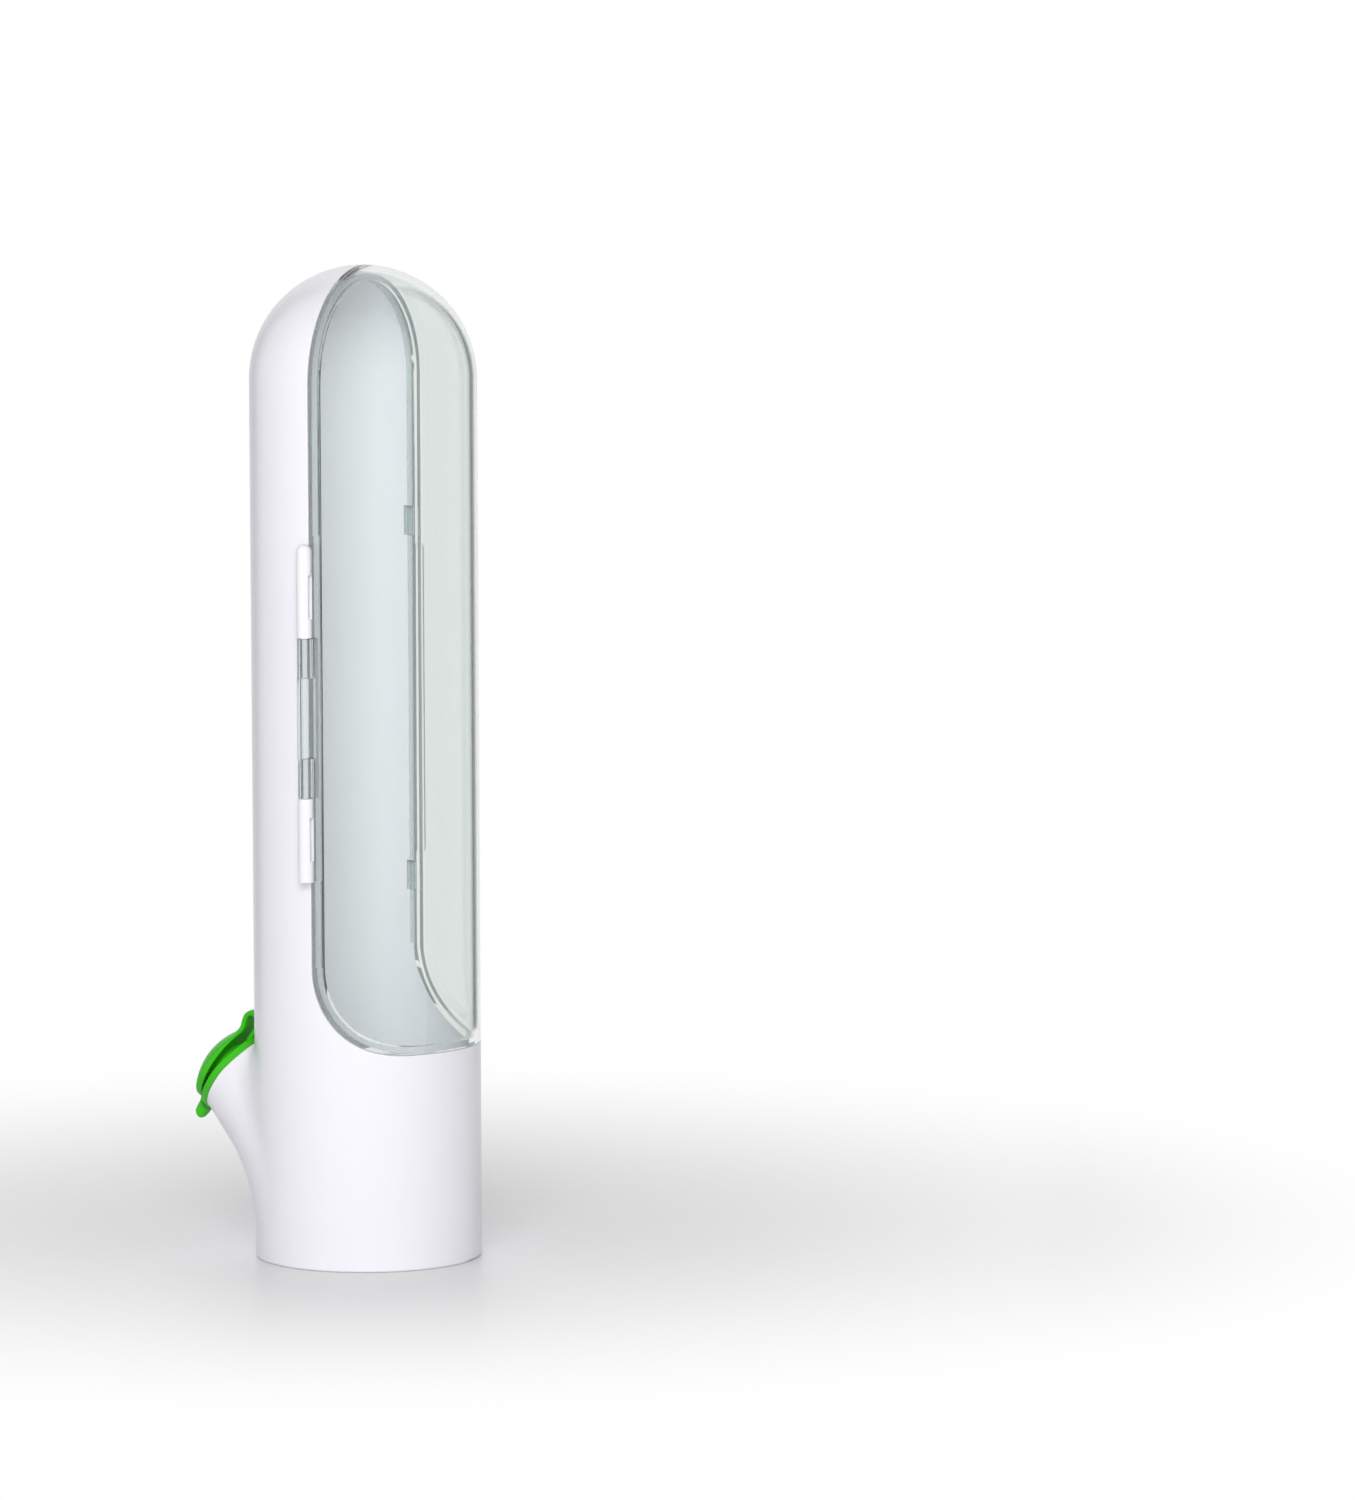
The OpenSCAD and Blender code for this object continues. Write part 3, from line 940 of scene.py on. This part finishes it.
class KEEPER_OT_pins(bpy.types.Operator):
    """Turns the two steel hinge pins, with chamfered ends"""

    bl_idname = "keeper.pins"
    bl_label = "Hinge pins"

    def execute(self, context):
        cut = context.scene.keeper_sizes.pin_edge
        foot = Vector((HINGE.x, HINGE.y, 0))

        def place(turn, r, z):
            return foot + Vector((math.cos(turn), math.sin(turn), 0)) * r + Vector((0, 0, z))

        for node in ("upper_hinge_pin", "lower_hinge_pin"):
            low, high = corner(node, 0, 2), corner(node, 1, 2)
            outline = (
                (AXIS_R * MM, low), (PIN_R - cut, low), (PIN_R, low + cut),
                (PIN_R, high - cut), (PIN_R - cut, high), (AXIS_R * MM, high),
            )
            points, faces = revolve(outline, place, PIN_STEPS)
            piece = new_piece(
                node + "_turned", points, faces, "steel", "keeper", sharp_angle=30
            )
            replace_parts(piece, node)
        return {"FINISHED"}


# -------------------------------------------------------------------- stage


class KEEPER_OT_stage(bpy.types.Operator):
    """Sets the camera, the floor, the white surroundings, the soft lamps and the felt panels"""

    bl_idname = "keeper.stage"
    bl_label = "Studio"

    def execute(self, context):
        self.camera(context)
        self.floor()
        self.world(context)
        for lamp in LAMPS:
            self.lamp(context, *lamp)
        for flag in FLAGS:
            self.flag(*flag)
        context.scene.view_settings.view_transform = "Standard"
        return {"FINISHED"}

    def camera(self, context):
        """The camera, aimed at the keeper's middle, then panned and rolled."""
        data = bpy.data.cameras.new("camera")
        data.lens = CAMERA_LENS
        data.clip_start, data.clip_end = CLIP_NEAR, CLIP_FAR
        camera = bpy.data.objects.new("camera", data)
        context.scene.collection.objects.link(camera)
        back = toward(CAMERA_TURN, CAMERA_RISE)
        a, roll = math.radians(CAMERA_TURN), math.radians(CAMERA_ROLL)
        right = Vector((math.cos(a), math.sin(a), 0))
        up = back.cross(right)
        tilted = right * math.cos(roll) + up * math.sin(roll)
        above = up * math.cos(roll) - right * math.sin(roll)
        look = Matrix((tilted, above, back)).transposed()
        side = Matrix.Rotation(math.radians(PAN_SIDE), 3, "Y")
        lift = Matrix.Rotation(math.radians(PAN_UP), 3, "X")
        place = Matrix.Translation(MIDDLE + back * CAMERA_AWAY)
        camera.matrix_world = place @ (look @ (side @ lift)).to_4x4()
        context.scene.camera = camera

    def floor(self):
        """The studio floor, which the keeper stands on."""
        half = FLOOR_HALF
        points = [(-half, -half, 0), (half, -half, 0), (half, half, 0), (-half, half, 0)]
        floor = new_piece("floor", points, [(0, 1, 2, 3)], "floor")

    def world(self, context):
        """White to the camera and in gloss, and a shade off white through the clear door.

        As light on the keeper it is a softer grey, darkest overhead.
        """
        world = bpy.data.worlds.new("studio")
        world.use_nodes = True
        tree = world.node_tree
        tree.nodes.clear()
        path = add(tree, "LightPath")
        way = add(tree, "SeparateXYZ", {"Vector": add(tree, "TexCoord").outputs["Generated"]})
        level = add(
            tree, "MapRange", {"Value": way.outputs["Z"], "To Min": AMBIENT, "To Max": OVERHEAD}
        ).outputs["Result"]
        # A ray through the door counts as glossy too, so its own level comes after.
        for kind, seen in (
            ("Is Glossy Ray", 1.0), ("Is Transmission Ray", THROUGH_DOOR), ("Is Camera Ray", 1.0)
        ):
            level = add(
                tree, "Mix", {MIX_FACTOR: path.outputs[kind], NUMBER_A: level, NUMBER_B: seen}
            ).outputs[NUMBER_MIXED]
        light = add(tree, "Background", {"Color": (1, 1, 1, 1), "Strength": level})
        add(tree, "OutputWorld", {"Surface": light.outputs["Background"]})
        context.scene.world = world

    def lamp(self, context, name, turn, rise, away, size, power):
        """A soft rectangular lamp aimed at the keeper.

        Gloss and clear plastic show the white surroundings instead of it.
        """
        data = bpy.data.lights.new(name, "AREA")
        data.shape, data.size, data.size_y, data.energy = "RECTANGLE", size[0], size[1], power
        lamp = bpy.data.objects.new(name, data)
        context.scene.collection.objects.link(lamp)
        way = toward(turn, rise)
        aim = way.to_track_quat("Z", "Y").to_matrix().to_4x4()
        lamp.matrix_world = Matrix.Translation(MIDDLE + way * away) @ aim
        lamp.visible_glossy = False
        lamp.visible_transmission = False

    def flag(self, name, first, last, away, in_gloss):
        """A bent felt panel, out of sight, that draws edge lines in the clear plastic.

        One that would dull the white body isn't shown in gloss.
        """
        points, faces = [], []
        for k, swing in enumerate(range(first, last + 1, FLAG_STEP)):
            way = toward(CAMERA_TURN + swing, 0) * away
            points += [(way.x, way.y, -FLAG_HALF), (way.x, way.y, FLAG_HALF)]
            if k:
                faces.append((2 * k - 2, 2 * k, 2 * k + 1, 2 * k - 1))
        flag = new_piece(name, points, faces, "flag")
        flag.location.z = FLAG_HALF + FLAG_CLEAR
        flag.visible_camera = flag.visible_diffuse = flag.visible_shadow = False
        flag.visible_glossy = in_gloss


# -------------------------------------------------------------------- panel

STEPS = (
    KEEPER_OT_body, KEEPER_OT_spout_root, KEEPER_OT_door, KEEPER_OT_pins, KEEPER_OT_cap,
    KEEPER_OT_stage,
)


class KEEPER_PT_panel(bpy.types.Panel):
    """Lists the keeper's pieces and what the user can change"""

    bl_idname = "KEEPER_PT_panel"
    bl_label = "Herb Keeper"
    bl_space_type = "VIEW_3D"
    bl_region_type = "UI"
    bl_category = "Herb Keeper"

    def draw(self, context):
        for step in STEPS:
            self.layout.operator(step.bl_idname)
        for group in (context.scene.keeper_sizes, context.scene.keeper_colours):
            box = self.layout.box()
            for name in group.bl_rna.properties.keys():
                if name not in ("rna_type", "name"):
                    box.prop(group, name)


CLASSES = (KeeperSizes, KeeperColours, *STEPS, KEEPER_PT_panel)


def register():
    for kind in CLASSES:
        bpy.utils.register_class(kind)
    bpy.types.Scene.keeper_sizes = bpy.props.PointerProperty(type=KeeperSizes)
    bpy.types.Scene.keeper_colours = bpy.props.PointerProperty(type=KeeperColours)


def unregister():
    del bpy.types.Scene.keeper_colours
    del bpy.types.Scene.keeper_sizes
    for kind in reversed(CLASSES):
        bpy.utils.unregister_class(kind)


def main():
    register()
    for step in STEPS:
        group, name = step.bl_idname.split(".")
        getattr(getattr(bpy.ops, group), name)()


if __name__ == "__main__":
    main()
